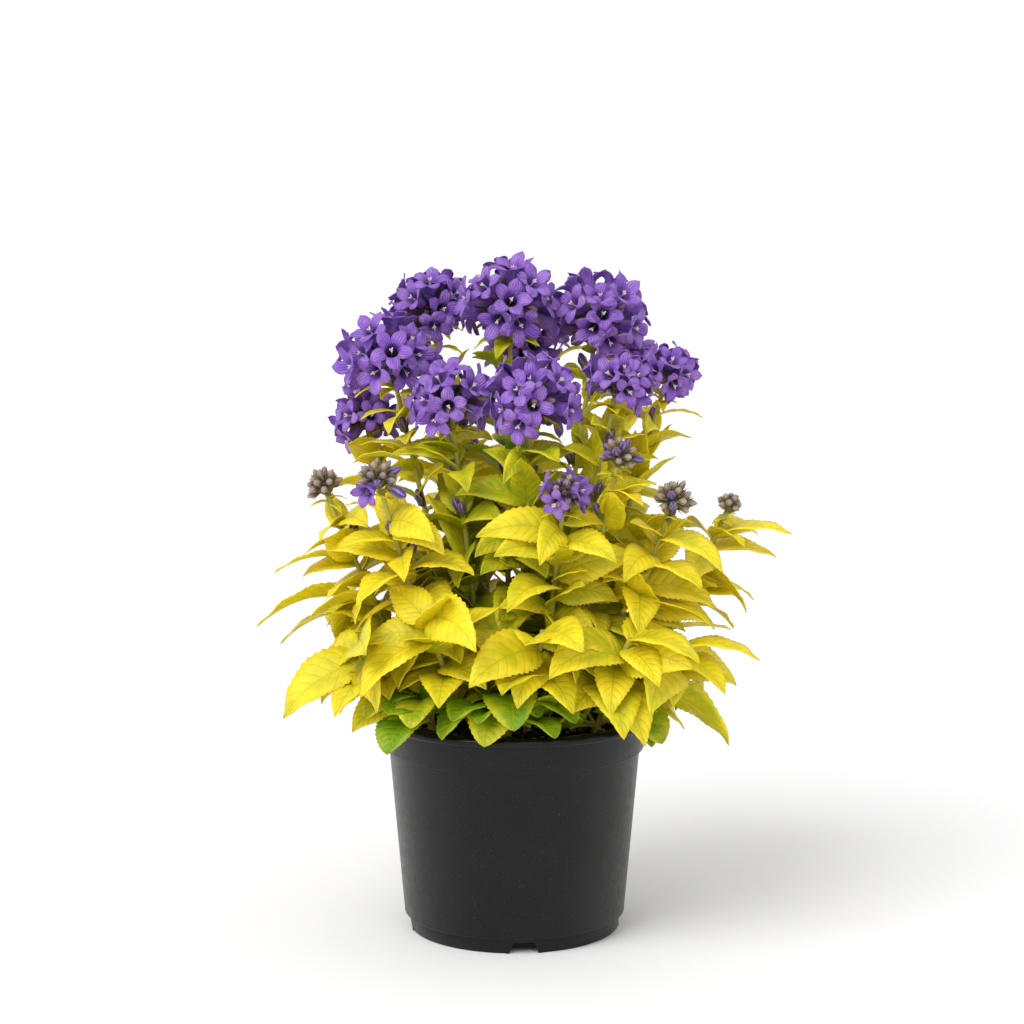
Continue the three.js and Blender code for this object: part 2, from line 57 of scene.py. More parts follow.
# foot on the soil, top, how far out the middle leans, leaves, where they start, radius of the head or buds
flowering = [
    ((-4, 14), (-2, 32, 325), 0.5, 4, 0.34, 24.5),
    ((14, 18), (44, 41, 317), 0.5, 4, 0.32, 23.5),
    ((-22, 2), (-65, 14, 299), 0.5, 5, 0.25, 23.5),
    ((-14, -10), (-33, -9, 279), 0.5, 4, 0.25, 20.5),
    ((2, -14), (9, -23, 281), 0.5, 5, 0.25, 22.5),
    ((17, -8), (53, -16, 290), 0.45, 4, 0.25, 17),
    ((28, 4), (80, 16, 291), 0.5, 4, 0.22, 15.5),
    ((-16, 22), (-44, 53, 320), 0.5, 4, 0.32, 20),
    ((12, -24), (25, -53, 239), 0.55, 4, 0.25, 12.5),
    ((4, 34), (6, 86, 297), 0.5, 3, 0.3, 20),
    ((24, 30), (62, 78, 286), 0.5, 3, 0.3, 18.5),
    ((-32, 20), (-80, 58, 262), 0.5, 3, 0.25, 17),
    ((-12, 42), (-30, 104, 258), 0.5, 3, 0.25, 15.5),
]
budding = [
    ((-30, -14), (-69, -42, 244), 0.55, 5, 0.2, 13),
    ((26, -18), (53, -37, 255), 0.45, 5, 0.25, 12),
    ((36, -10), (80, -40, 233), 0.6, 5, 0.2, 13),
    ((-42, -2), (-98, -10, 236), 0.6, 5, 0.2, 11.5),
    ((44, 8), (112, 4, 224), 0.65, 5, 0.2, 8),
]
shoots = [
    ((6, -38), (14, -70, 172), 0.6, 5, 0.3),
    ((-22, -32), (-44, -66, 178), 0.65, 5, 0.3),
    ((30, -34), (58, -70, 168), 0.65, 5, 0.3),
    ((-44, -20), (-80, -45, 158), 0.75, 5, 0.3),
    ((48, -18), (84, -42, 158), 0.75, 5, 0.3),
    ((-46, 16), (-88, 34, 172), 0.7, 4, 0.3),
    ((22, 48), (44, 104, 180), 0.65, 4, 0.3),
]
stemValues = ("foot", "top", "bow", "leaves", "start")
stems = [dict(zip(stemValues + ("head",), row)) for row in flowering]
stems += [dict(zip(stemValues + ("buds",), row)) for row in budding]
stems += [dict(zip(stemValues, row)) for row in shoots]
stems[8]["open"] = 0.55  # share of the bells of the low front head that are out
stems[13]["firstBell"] = True  # the front left cluster has one open bell

# foot on the soil, the way it faces in degrees, leaves
tufts = [
    dict(foot=(-4, -48), turn=-92, leaves=6),
    dict(foot=(42, -34), turn=-38, leaves=5),
    dict(foot=(-42, -36), turn=-142, leaves=5),
    dict(foot=(50, 22), turn=30, leaves=3),
    dict(foot=(-34, 46), turn=124, leaves=3),
]


def seeded(seed):
    state = [seed]

    def draw():
        state[0] = (state[0] * 1664525 + 1013904223) % 4294967296
        return state[0] / 4294967296
    return draw


def plus(a, b, times=1.0):
    return (a[0] + b[0] * times, a[1] + b[1] * times, a[2] + b[2] * times)


def unit(a):
    size = sqrt(a[0] * a[0] + a[1] * a[1] + a[2] * a[2])
    return (a[0] / size, a[1] / size, a[2] / size)


def bezier(points, t):
    a, b, c = (1 - t) * (1 - t), 2 * (1 - t) * t, t * t
    return tuple(a * p + b * q + c * r for p, q, r in zip(*points))


def coreRadius(headRadius):
    return 2.2 + 0.22 * headRadius


def isFlowering(stem):
    return "head" in stem or "buds" in stem


def stemLine(stem):
    begin = (*stem["foot"], footLevel)
    end = stem["top"]
    middle = (begin[0] + (end[0] - begin[0]) * stem["bow"], begin[1] + (end[1] - begin[1]) * stem["bow"],
              begin[2] + (end[2] - begin[2]) * 0.5)
    lean = unit(plus(end, middle, -1))
    radius = stem.get("head") or stem.get("buds")
    if radius:
        end = plus(end, lean, -(coreRadius(radius) + plant["gap"]))
    return (begin, middle, end), lean


# how early a blade is widest and how sharply it narrows to its ends
pointed = (0.64, 0.92)
blunt = (0.74, 0.66)


def leafOutline(outline, s):
    return math.pow(max(0.0, sin(pi * math.pow(s, outline[0]))), outline[1])


def leafPoint(leaf, s, side, half, lift):
    # s runs from base to tip and side from -1 to 1 across; half is half the width there
    azimuth, pitch, bend, roll, fold, length = (
        leaf[key] for key in ("azimuth", "pitch", "bend", "roll", "fold", "length"))
    spread = half / (leaf["width"] / 2)
    along = s - leaf["cordate"] * spread * spread * math.pow(1 - s, 3) * abs(side)
    angle = pitch - bend * along
    out = length * (sin(pitch) - sin(angle)) / bend
    rise = length * (cos(angle) - cos(pitch)) / bend
    ca, sa = cos(azimuth), sin(azimuth)
    normal = (-ca * sin(angle), -sa * sin(angle), cos(angle))
    across = (-sa, ca, 0.0)
    cr, sr = cos(roll), sin(roll)
    wide = side * half * cos(fold)
    high = abs(side) * half * sin(fold) + lift
    return tuple(leaf["base"][i] + (ca, sa, 0.0)[i] * out + (0.0, 0.0, rise)[i]
                 + (across[i] * cr + normal[i] * sr) * wide + (normal[i] * cr - across[i] * sr) * high
                 for i in range(3))


def leafSamples(leaf):
    found = []
    for i in range(1, 10):
        s = i / 9
        half = leaf["width"] / 2 * leafOutline(leaf["outline"], s)
        found += [leafPoint(leaf, s, k / 3, half, 0) for k in range(-3, 4)]
    return found


def stalkLine(leaf):
    foot, base = leaf["foot"], leaf["base"]
    middle = ((foot[0] + base[0]) / 2, (foot[1] + base[1]) / 2, base[2] + 1)
    return foot, middle, plus(base, unit(plus(base, middle, -1)))


# Points of stems and leaves by the cell that they lie in, and heads and bud clusters as balls
cellSize = 4.5
taken = {}
balls = []


def cellOf(p):
    return tuple(math.floor(v / cellSize) for v in p)


def take(p, owner):
    taken.setdefault(cellOf(p), []).append((p, owner))


def isFree(p, owner, clearance):
    cx, cy, cz = cellOf(p)
    for i in (cx - 1, cx, cx + 1):
        for j in (cy - 1, cy, cy + 1):
            for k in (cz - 1, cz, cz + 1):
                for q, other in taken.get((i, j, k), ()):
                    if other != owner and sum((a - b) ** 2 for a, b in zip(p, q)) <= clearance ** 2:
                        return False
    return True


# How low a leaf may hang over the soil, over the rim and outside the pot
lowest = {"soilRadius": 66, "overSoil": soilLevel + 3, "rimRadius": pot["rimRadius"] + 4,
          "overRim": pot["height"] + 2.5, "outside": 70}


def isOpen(p, heads):
    out = hypot(p[0], p[1])
    if out < lowest["soilRadius"]:
        floor = lowest["overSoil"]
    else:
        floor = lowest["overRim"] if out < lowest["rimRadius"] else lowest["outside"]
    return p[2] >= floor and all(math.dist(p, centre) > radius + plant["headClearance"]
                                 for centre, radius in heads)


# What a leaf tries until it is clear of the rest: sizes, turns and lifts in degrees
tries = {"sizes": (1, 0.8, 0.62), "turns": (0, 16, -16, 32, -32, 48, -48), "lifts": (0, 18, -18),
         "headsWithin": 90}


def settle(leaf, owner, clearance):
    start = leaf.get("base") or leaf["foot"]
    heads = [(centre, radius) for centre, radius in balls
             if math.dist(centre, start) < radius + tries["headsWithin"]]
    for size, turn, lift in itertools.product(tries["sizes"], tries["turns"], tries["lifts"]):
        tried = dict(leaf, length=leaf["length"] * size, width=leaf["width"] * size,
                     azimuth=leaf["azimuth"] + radians(turn), pitch=leaf["pitch"] + radians(lift))
        if "foot" in leaf:
            reach = leaf["reach"]
            tried["base"] = plus(leaf["foot"], (reach * cos(tried["azimuth"]), reach * sin(tried["azimuth"]),
                                                leaf["rise"]))
        samples = leafSamples(tried)
        if not all(isOpen(p, heads) for p in samples):
            continue
        if "foot" in leaf:
            samples += [bezier(stalkLine(tried), i / 6) for i in range(7)]
        if all(isFree(p, owner, clearance) for p in samples):
            for p in samples:
                take(p, owner)
            return tried
    return None


def clamp(value):
    return min(1.0, max(0.0, value))


def turnedOut(stem, azimuth):
    # leaves turn towards the light, away from the middle of the plant
    outward = atan2(stem["top"][1], stem["top"][0])
    off = azimuth - outward
    return outward + 0.78 * atan2(sin(off), cos(off))


def lengthAt(height):
    # leaves grow shorter up the stems
    return 1 - 0.34 * clamp((height - 170) / 110)


def stemLeaf(stem, base, azimuth, length, draw):
    # low leaves hang and are broader, and each turns its face outwards
    low = 1 - clamp((base[2] - 150) / 90)
    azimuth = turnedOut(stem, azimuth)
    aside = sin(azimuth - atan2(base[1], base[0]))
    pitch = radians(22 - 36 * low + 32 * draw())
    bend = radians(42 + 4 * low + 30 * draw())
    roll = radians(44 * aside + 40 * (draw() - 0.5))
    fold = radians(5 + 9 * draw())
    return dict(base=base, azimuth=azimuth, pitch=pitch, bend=bend, roll=roll, fold=fold,
                length=length, width=length * (0.42 + 0.16 * low), cordate=0, outline=pointed)


def stemLeaves(stem, index, line):
    draw = seeded(101 + 17 * index)
    phase = 2 * pi * draw()
    last = 0.86 if isFlowering(stem) else 0.98
    found = []
    for k in range(stem["leaves"]):
        base = bezier(line, stem["start"] + (last - stem["start"]) * k / (stem["leaves"] - 1))
        length = plant["leafLength"] * lengthAt(base[2]) * (0.85 + 0.25 * draw())
        azimuth = phase + k * plant["goldenAngle"] + 0.5 * (draw() - 0.5)
        found.append(settle(stemLeaf(stem, base, azimuth, length, draw), index, plant["clearance"]))
    return [leaf for leaf in found if leaf]


def basalLeaf(tuft, index, clearance, breadth, **leaf):
    # a leaf on a stalk of its own, its angles given in degrees
    for angle in ("azimuth", "pitch", "bend", "roll", "fold"):
        leaf[angle] = radians(leaf[angle])
    leaf.update(foot=(*tuft["foot"], footLevel), width=leaf["length"] * breadth, cordate=0.3, outline=blunt)
    return settle(leaf, len(stems) + index, clearance)


def tuftLeaves(tuft, index):
    draw = seeded(901 + 29 * index)
    found = []
    for k in range(tuft["leaves"]):
        spread = (k - (tuft["leaves"] - 1) / 2) * 38
        found.append(basalLeaf(tuft, index, plant["clearance"], 0.86,
                               azimuth=tuft["turn"] + spread + 14 * (draw() - 0.5), reach=10 + 12 * draw(),
                               rise=7 + 16 * draw(), length=24 + 11 * draw(), pitch=8 + 22 * draw(),
                               bend=58 + 30 * draw(), roll=30 * (draw() - 0.5), fold=8 + 8 * draw()))
    return [leaf for leaf in found if leaf]


lines = [stemLine(stem) for stem in stems]
for index, stem in enumerate(stems):
    for p in [bezier(lines[index][0], i / 60) for i in range(61)]:
        take(p, index)
    if "head" in stem:
        balls.append((stem["top"], stem["head"] * 0.95))
    if "buds" in stem:
        balls.append((stem["top"], stem["buds"] * 1.2))
leavesOfTuft = [tuftLeaves(tuft, index) for index, tuft in enumerate(tufts)]
leavesOfStem = [stemLeaves(stem, index, lines[index][0]) for index, stem in enumerate(stems)]
print("layout:", sum(map(len, leavesOfStem)), "stem leaves,", sum(map(len, leavesOfTuft)), "basal leaves")

# Smaller leaves that fill the stems and the tufts between the larger ones
filling = {"perStem": 26, "perShoot": 13, "clearance": 2.2, "size": 0.86, "upright": 0.3, "perTuft": 11,
           "tuftSpread": 200, "tuftClearance": 1.8}


def fillingLeaves(stem, index, line):
    draw = seeded(3001 + 31 * index)
    phase = 2 * pi * draw()
    count = filling["perStem"] if isFlowering(stem) else filling["perShoot"]
    first, last = (0.05, 0.93) if isFlowering(stem) else (0.12, 1.0)
    found = []
    for k in range(count):
        base = bezier(line, first + (last - first) * (k + 0.6 * draw()) / count)
        length = plant["leafLength"] * filling["size"] * lengthAt(base[2]) * (0.75 + 0.4 * draw())
        leaf = stemLeaf(stem, base, phase + k * plant["goldenAngle"], length, draw)
        if draw() < filling["upright"]:
            leaf["pitch"] += radians(30)
            leaf["bend"] *= 0.5
        found.append(settle(leaf, index, filling["clearance"]))
    return [leaf for leaf in found if leaf]


def youngTuftLeaves(tuft, index):
    # small new leaves between a tuft's larger ones
    draw = seeded(4001 + 37 * index)
    found = []
    for k in range(filling["perTuft"]):
        spread = filling["tuftSpread"] * (k / (filling["perTuft"] - 1) - 0.5)
        found.append(basalLeaf(tuft, index, filling["tuftClearance"], 0.84,
                               azimuth=tuft["turn"] + spread + 20 * (draw() - 0.5), length=15 + 13 * draw(),
                               reach=8 + 13 * draw(), rise=3 + 17 * draw(), pitch=10 + 50 * draw(),
                               bend=40 + 50 * draw(), roll=50 * (draw() - 0.5), fold=6 + 8 * draw()))
    return [leaf for leaf in found if leaf]


youngOfTuft = [youngTuftLeaves(tuft, index) for index, tuft in enumerate(tufts)]
fillingOfStem = [fillingLeaves(stem, index, lines[index][0]) for index, stem in enumerate(stems)]
print("layout:", sum(map(len, fillingOfStem)), "filling leaves")


# Meshes

def mm(p):
    return Vector((p[0] * 0.001, p[1] * 0.001, p[2] * 0.001))


def newBmesh():
    bm = bmesh.new()
    bm.loops.layers.uv.new("UVMap")
    bm.verts.layers.float.new("tint")
    return bm


def placed(name, data):
    made = bpy.data.objects.new(name, data)
    bpy.context.scene.collection.objects.link(made)
    return made


def newObject(name, bm):
    mesh = bpy.data.meshes.new(name)
    bm.to_mesh(mesh)
    bm.free()
    return placed(name, mesh)


def withModifiers(holder):
    # the mesh that an object's modifiers make of it; the object goes
    shown = bpy.data.meshes.new_from_object(holder.evaluated_get(bpy.context.evaluated_depsgraph_get()))
    sheet = holder.data
    bpy.data.objects.remove(holder)
    bpy.data.meshes.remove(sheet)
    return shown


def spun(bm, profile, steps):
    # a closed body from a profile of radii and heights, turned about the pot's axis
    corners = [bm.verts.new(mm((r, 0, z))) for r, z in profile]
    edges = [bm.edges.new(pair) for pair in zip(corners, corners[1:])]
    bmesh.ops.spin(bm, geom=corners + edges, cent=(0, 0, 0), axis=(0, 0, 1), angle=2 * pi, steps=steps,
                   use_merge=True)
    bmesh.ops.remove_doubles(bm, verts=bm.verts, dist=1e-6)
    bmesh.ops.recalc_face_normals(bm, faces=bm.faces)


def grid(bm, columns, rows, tint, place, material=0):
    # a sheet of columns by rows faces, each corner put where place(across, along) says
    made = bmesh.ops.create_grid(bm, x_segments=columns, y_segments=rows, size=1, calc_uvs=True)["verts"]
    for vert in made:
        vert.co = mm(place(vert.co.x, (vert.co.y + 1) / 2))
    setVerts(bm, made, tint, material)
    return made


def thickened(bm, thickness):
    # the sheet as a thin closed body, its underside in the next material
    holder = newObject("sheet", bm)
    solidify = holder.modifiers.new("thickness", "SOLIDIFY")
    solidify.thickness = thickness * 0.001
    solidify.offset = -1
    solidify.material_offset = 1
    return withModifiers(holder)


def finished(name, bm, bodies, materials, nodes):
    # the large bodies join last, because each new small part goes over all that is there
    for body in bodies:
        bm.from_mesh(body)
        bpy.data.meshes.remove(body)
    piece = newObject(name, bm)
    for material in materials:
        piece.data.materials.append(material)
    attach(piece, "root")
    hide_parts(*nodes)


def facing(direction, at):
    # turns +Z to direction and moves to the place, in metres
    turn = Vector((0, 0, 1)).rotation_difference(Vector(direction)).to_matrix().to_4x4()
    return Matrix.Translation(mm(at)) @ turn


def setVerts(bm, verts, tint, material):
    layer = bm.verts.layers.float["tint"]
    for vert in verts:
        vert[layer] = tint
    for face in {face for vert in verts for face in vert.link_faces}:
        face.material_index = material
        face.smooth = True


# Materials

class Wiring:
    # short names for adding and joining nodes in one tree
    def __init__(self, tree):
        self.tree = tree

    def put(self, socket, value):
        if isinstance(value, bpy.types.NodeSocket):
            self.tree.links.new(value, socket)
        else:
            socket.default_value = value

    def add(self, kind, given=None, **values):
        # values are the node's own settings and given is what goes into its inputs; its outputs come back
        node = self.tree.nodes.new(kind)
        for key, value in values.items():
            setattr(node, key, value)
        for key, value in (given or {}).items():
            self.put(node.inputs[key], value)
        return node.outputs

    def math(self, operation, a, b=0.0):
        return self.add("ShaderNodeMath", {0: a, 1: b}, operation=operation)[0]

    def ramp(self, value, low, high, out=(0.0, 1.0), smooth=True):
        given = dict(enumerate((value, low, high, out[0], out[1])))
        return self.add("ShaderNodeMapRange", given, interpolation_type="SMOOTHSTEP" if smooth else "LINEAR")[0]

    def mix(self, share, a, b):
        return self.add("ShaderNodeMix", {0: share, 6: a, 7: b}, data_type="RGBA")[2]

    def noise(self, vector, scale, detail=3.0):
        given = {"Vector": vector, "Scale": scale, "Detail": detail, "Roughness": 0.55}
        return self.add("ShaderNodeTexNoise", given)["Fac"]

    def bump(self, height, distance, strength=1.0):
        given = {"Height": height, "Distance": distance, "Strength": strength}
        return self.add("ShaderNodeBump", given)["Normal"]

    def group(self, group, **given):
        return self.add("ShaderNodeGroup", given, node_tree=group)

    def split(self, vector):
        return self.add("ShaderNodeSeparateXYZ", {0: vector})

    def sheetUv(self):
        u, v, _ = self.split(self.add("ShaderNodeUVMap", uv_map="UVMap")[0])
        return u, v

    def fromMiddle(self, u):
        # 0 on a sheet's middle line and 1 at its sides
        return self.math("MULTIPLY", self.math("ABSOLUTE", self.math("SUBTRACT", u, 0.5)), 2.0)

    def tint(self):
        return self.add("ShaderNodeAttribute", attribute_name="tint")["Fac"]


def newGroup(name, inputs, outputs):
    # inputs hold each name's first value, None for a vector; every output is a number
    group = bpy.data.node_groups.new(name, "ShaderNodeTree")
    for label, value in inputs.items():
        kind = "NodeSocketVector" if value is None else "NodeSocketFloat"
        socket = group.interface.new_socket(label, in_out="INPUT", socket_type=kind)
        if value is not None:
            socket.default_value = value
    for label in outputs:
        group.interface.new_socket(label, in_out="OUTPUT", socket_type="NodeSocketFloat")
    wires = Wiring(group)
    return group, wires, wires.add("NodeGroupInput"), group.nodes.new("NodeGroupOutput").inputs


def colour(red, green, blue):
    # screen values from 0 to 255 as linear light
    def linear(v):
        v /= 255
        return v / 12.92 if v <= 0.04045 else ((v + 0.055) / 1.055) ** 2.4
    return (linear(red), linear(green), linear(blue), 1.0)


def newMaterial(name, **values):
    material = bpy.data.materials.new(name)
    material.use_nodes = True
    wires = Wiring(material.node_tree)
    shader = material.node_tree.nodes["Principled BSDF"]
    for key, value in values.items():
        shader.inputs[key].default_value = value
    return material, wires, shader.inputs, wires.add("ShaderNodeTexCoord")["Object"]


def leafVeins():
    # a leaf's veins and edge, from its own UV map: u across, v from base to tip
    group, w, given, out = newGroup("leafVeins", {"Veins": 9.0, "Slant": 0.2},
                                    ["Vein", "Edge", "Foot", "Height"])
    u, v = w.sheetUv()
    fromRib = w.fromMiddle(u)
    slanted = w.math("SUBTRACT", v, w.math("MULTIPLY", fromRib, given["Slant"]))
    wave = w.math("PINGPONG", w.math("MULTIPLY", slanted, given["Veins"]), 0.5)
    fading = w.ramp(fromRib, 0.75, 1.0, (0.75, 0.15))
    sideVein = w.math("MULTIPLY", w.ramp(wave, 0.0, 0.11, (1.0, 0.0)), fading)
    vein = w.math("MAXIMUM", w.ramp(fromRib, 0.02, 0.08, (1.0, 0.0)), sideVein)
    w.put(out["Vein"], vein)
    w.put(out["Edge"], w.ramp(fromRib, 0.45, 1.0))
    w.put(out["Foot"], w.ramp(v, 0.0, 0.75, (1.0, 0.0)))
    w.put(out["Height"], w.math("SUBTRACT", w.math("MULTIPLY", w.ramp(wave, 0.0, 0.5), 0.6), vein))
    return group


def fineGrain():
    # uneven colour and fine grain over any surface
    group, w, given, out = newGroup("fineGrain", {"Vector": None, "Scale": 100.0}, ["Patches", "Grain"])
    w.put(out["Patches"], w.ramp(w.noise(given["Vector"], given["Scale"], 2.0), 0.3, 0.7))
    w.put(out["Grain"], w.noise(given["Vector"], w.math("MULTIPLY", given["Scale"], 9.0), 4.0))
    return group


veinGroup = leafVeins()
grainGroup = fineGrain()


def leafMaterial(name, young, oldGreenAndShade, veinColour, roughness, raised, subsurface):
    material, w, inputs, place = newMaterial(name, **{
        "Roughness": roughness, "Specular IOR Level": 0.35, "Subsurface Weight": subsurface,
        "Subsurface Radius": (1.0, 0.9, 0.1), "Subsurface Scale": 0.003})
    veins = w.group(veinGroup)
    grain = w.group(grainGroup, Vector=place, Scale=90.0)
    # the vertex tint holds age and painted shade: leaves inside the plant and low down are tinted old green as
    # painted shade
    ageAndShadeMix = w.math("ADD", w.tint(), w.math("MULTIPLY", w.math("SUBTRACT", grain["Patches"], 0.5), 0.35))
    ageAndShadeMix = w.math("ADD", ageAndShadeMix, w.math("MULTIPLY", veins["Edge"], -0.2))
    ageAndShadeMix = w.math("ADD", ageAndShadeMix, w.math("MULTIPLY", veins["Foot"], 0.2))
    blade = w.mix(w.ramp(ageAndShadeMix, 0.0, 1.0, smooth=False), young, oldGreenAndShade)
    blade = w.mix(w.math("MULTIPLY", veins["Vein"], 0.4), blade, veinColour)
    w.put(inputs["Base Color"], blade)
    height = w.math("ADD", veins["Height"], w.math("MULTIPLY", grain["Grain"], 0.35))
    w.put(inputs["Normal"], w.bump(height, 0.00022 * raised, 0.8))
    return material


goldUpper = leafMaterial("goldLeafUpper", young=colour(242, 216, 34), oldGreenAndShade=colour(96, 142, 4),
                         veinColour=colour(172, 170, 20), roughness=0.46, raised=1, subsurface=0.2)
goldLower = leafMaterial("goldLeafUnder", young=colour(234, 218, 64), oldGreenAndShade=colour(136, 162, 30),
                         veinColour=colour(226, 222, 120), roughness=0.6, raised=-1, subsurface=0.25)


def petalMaterial(name, tip, throat, light, roughness):
    # u runs across a lobe and v from the foot of the bell to the lobe's tip
    material, w, inputs, place = newMaterial(name, **{
        "Roughness": roughness, "Specular IOR Level": 0.22, "Sheen Weight": 0.05, "Subsurface Weight": 0.15,
        "Subsurface Radius": (0.6, 0.3, 1.0), "Subsurface Scale": 0.0015})
    u, v = w.sheetUv()
    grain = w.group(grainGroup, Vector=place, Scale=170.0)
    skin = w.mix(w.ramp(v, 0.32, 0.62), throat, tip)
    skin = w.mix(w.math("MULTIPLY", w.tint(), 0.35), skin, colour(100, 58, 168))
    bent = w.math("ADD", w.fromMiddle(u), w.math("MULTIPLY", w.math("SUBTRACT", grain["Grain"], 0.5), 0.12))
    streak = w.ramp(w.math("PINGPONG", w.math("MULTIPLY", bent, 2.5), 0.5), 0.0, 0.28, (1.0, 0.0))
    skin = w.mix(w.math("MULTIPLY", streak, 0.35), skin, throat)
    # pale patches over the petals are painted sparkle highlights
    skin = w.mix(w.math("MULTIPLY", grain["Patches"], 0.5), skin, light)
    w.put(inputs["Base Color"], skin)
    crumple = w.math("ADD", w.math("MULTIPLY", grain["Grain"], 1.6), w.math("MULTIPLY", streak, -1.1))
    w.put(inputs["Normal"], w.bump(crumple, 0.0005))
    return material


petalInner = petalMaterial("petalInner", tip=colour(152, 102, 212), throat=colour(126, 78, 192),
                           light=colour(200, 160, 236), roughness=0.46)
petalOuter = petalMaterial("petalOuter", tip=colour(140, 94, 198), throat=colour(110, 64, 156),
                           light=colour(184, 146, 224), roughness=0.5)


def plainMaterial(name, light, dark, patches, patch, scale, bump, **values):
    # tint 0 is light and 1 dark, with patches of a colour of their own
    material, w, inputs, place = newMaterial(name, **values)
    grain = w.group(grainGroup, Vector=place, Scale=scale)
    skin = w.mix(w.tint(), light, dark)
    w.put(inputs["Base Color"], w.mix(w.math("MULTIPLY", grain["Patches"], patches), skin, patch))
    w.put(inputs["Normal"], w.bump(grain["Grain"], bump))
    return material


def softMaterial(name, light, dark, roughness, scale):
    return plainMaterial(name, light, dark, 0.35, dark, scale, 0.0003,
                         **{"Roughness": roughness, "Sheen Weight": 0.2})


def soilMaterial(name, light, dark):
    return plainMaterial(name, dark, light, 0.7, dark, 260.0, 0.0012,
                         **{"Roughness": 0.95, "Specular IOR Level": 0.2})


stemGreen = plainMaterial("stemGreen", colour(186, 182, 62), colour(142, 142, 34), 0.4, colour(146, 126, 50),
                          60.0, 0.0002, **{"Roughness": 0.5, "Sheen Weight": 0.25})
stigmaCream = softMaterial("stigmaCream", colour(222, 210, 196), colour(176, 150, 200), 0.6, 200.0)
calyxDark = softMaterial("calyxDark", colour(98, 74, 66), colour(56, 30, 56), 0.6, 180.0)
sepalGreen = softMaterial("sepalGreen", colour(136, 136, 52), colour(78, 66, 46), 0.55, 150.0)
peat = soilMaterial("peat", colour(120, 92, 60), colour(38, 28, 20))
barkBits = soilMaterial("barkBits", colour(232, 208, 150), colour(120, 88, 50))


def budMaterial():
    # u runs round the bud and v from its foot to its tip; tint 0 is a ripe bud and 1 a pale young one
    material, w, inputs, place = newMaterial("budStriped", **{"Roughness": 0.45, "Sheen Weight": 0.2})
    u, v = w.sheetUv()
    grain = w.group(grainGroup, Vector=place, Scale=160.0)
    stripe = w.ramp(w.math("PINGPONG", w.math("MULTIPLY", u, 5.0), 0.5), 0.05, 0.3)
    ripe = w.mix(stripe, colour(138, 106, 176), colour(58, 32, 100))
    young = w.mix(w.ramp(v, 0.4, 0.8), colour(132, 124, 72), colour(182, 160, 134))
    young = w.mix(w.math("MULTIPLY", stripe, 0.35), young, colour(112, 80, 96))
    skin = w.mix(w.tint(), ripe, young)
    w.put(inputs["Base Color"], w.mix(w.math("MULTIPLY", grain["Patches"], 0.2), skin, colour(92, 60, 110)))
    w.put(inputs["Normal"], w.bump(grain["Grain"], 0.0002))
    return material


budStriped = budMaterial()


def potMaterial():
    # satin black with pale dust, glossier on the lip
    material, w, inputs, place = newMaterial("potPlastic", **{"Specular IOR Level": 0.32, "IOR": 1.42})
    grain = w.group(grainGroup, Vector=place, Scale=30.0)
    specks = w.ramp(w.noise(place, 1400.0, 1.0), 0.70, 0.78)
    skin = w.mix(grain["Patches"], colour(12, 12, 13), colour(17, 17, 18))
    w.put(inputs["Base Color"], w.mix(w.math("MULTIPLY", specks, 0.35), skin, colour(104, 104, 108)))
    lip = w.ramp(w.split(place)[2], (pot["lipBottom"] - 1.3) * 0.001, (pot["lipBottom"] + 0.2) * 0.001)
    satin = w.ramp(grain["Grain"], 0.3, 0.7, (0.3, 0.38))
    w.put(inputs["Roughness"], w.math("SUBTRACT", satin, w.math("MULTIPLY", lip, 0.14)))
    w.put(inputs["Normal"], w.bump(w.noise(place, 900.0, 3.0), 0.00008, 0.6))
    return material


potPlastic = potMaterial()
print("materials made")


# Pot

def prism(bottom, top, height, near, far, turn, name):
    # a trapezoid bar lying on the table from near to far, turned about the pot's axis
    bm = bmesh.new()
    bmesh.ops.create_cube(bm, size=1)
    for vert in bm.verts:
        half = (bottom if vert.co.z < 0 else top) / 2
        vert.co = mm((near if vert.co.x < 0 else far, math.copysign(half, vert.co.y),
                      -1 if vert.co.z < 0 else height))
    bmesh.ops.rotate(bm, verts=bm.verts, matrix=Matrix.Rotation(turn, 3, "Z"))
    return newObject(name, bm)


def insideRadius(z):
    p = pot
    body, collar = p["rimRadius"] - p["bodyInset"], p["rimRadius"] - p["collarInset"]
    if z > p["collarBottom"] + 1:
        share = (z - p["collarBottom"]) / (p["lipBottom"] - p["collarBottom"])
        return collar - 2 * p["wall"] + share * 1.2
    share = (z - p["footRing"]) / (p["collarBottom"] - p["footRing"])
    return p["baseRadius"] + 3 - p["wall"] + share * (body - p["baseRadius"] - 3)


def potProfile():
    # from the middle of the underside, up the outside, over the lip and down the inside
    p = pot
    rim, foot = p["rimRadius"], p["baseRadius"]
    body, collar = rim - p["bodyInset"], rim - p["collarInset"]
    ring, step, lip = p["footRing"], p["collarBottom"], p["lipBottom"]
    bead, inner = p["lipBead"], p["lipInner"]
    profile = [(0, 0), (foot - 0.6, 0), (foot, 0.6), (foot + 0.8, ring - 0.6), (foot + 0.9, ring + 0.1),
               (foot + 2.7, ring + 0.7), (foot + 3, ring + 1.1), (body, step - 0.7), (body + 0.3, step - 0.2),
               (collar - 1.9, step + 0.1), (collar - 1.6, step + 0.5), (collar - 0.2, lip - 0.7),
               (collar + 0.1, lip), (rim - 1.6, lip), (rim - 0.5, lip + 0.5), (rim, lip + 1.5)]
    profile += [(rim - bead + bead * cos(a), p["height"] - bead + bead * sin(a))
                for a in (radians(15 * i) for i in range(7))]
    profile += [(rim - 4.6 - inner * sin(a), p["height"] - inner + inner * cos(a))
                for a in (radians(22.5 * i) for i in range(5))]
    profile += [(collar - 1.7, lip)] + [(insideRadius(z), z) for z in (step + 3, step, ring + 1)]
    return profile + [(foot - p["wall"], p["floor"]), (0, p["floor"])]


